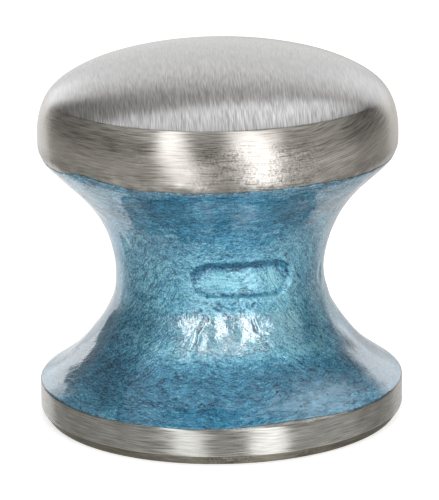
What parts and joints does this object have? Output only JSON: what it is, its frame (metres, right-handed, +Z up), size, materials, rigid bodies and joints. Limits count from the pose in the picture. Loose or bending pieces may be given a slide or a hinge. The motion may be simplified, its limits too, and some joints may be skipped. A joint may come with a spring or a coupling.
{
  "type": "hand anvil",
  "caption": "Round hand anvil with a crowned steel head, a flat ground foot and a narrow lacquered waist to hold it by.",
  "frame": {"origin": "middle of the foot's flat face, on which the anvil stands", "axes": "+Z up along the anvil's own axis, from the flat foot to the crowned head; -Y is the front, where the plain stamped panel is"},
  "size_m": [0.06, 0.06, 0.0614],
  "materials": {
    "ground_steel": "ground bright, with fine brush lines",
    "hammered_lacquer": "blue hammered lacquer over a rough forging skin"
  },
  "bodies": {
    "root": {"forged_body": "ground_steel", "enamel_coat": "hammered_lacquer"}
  },
  "joints": []
}
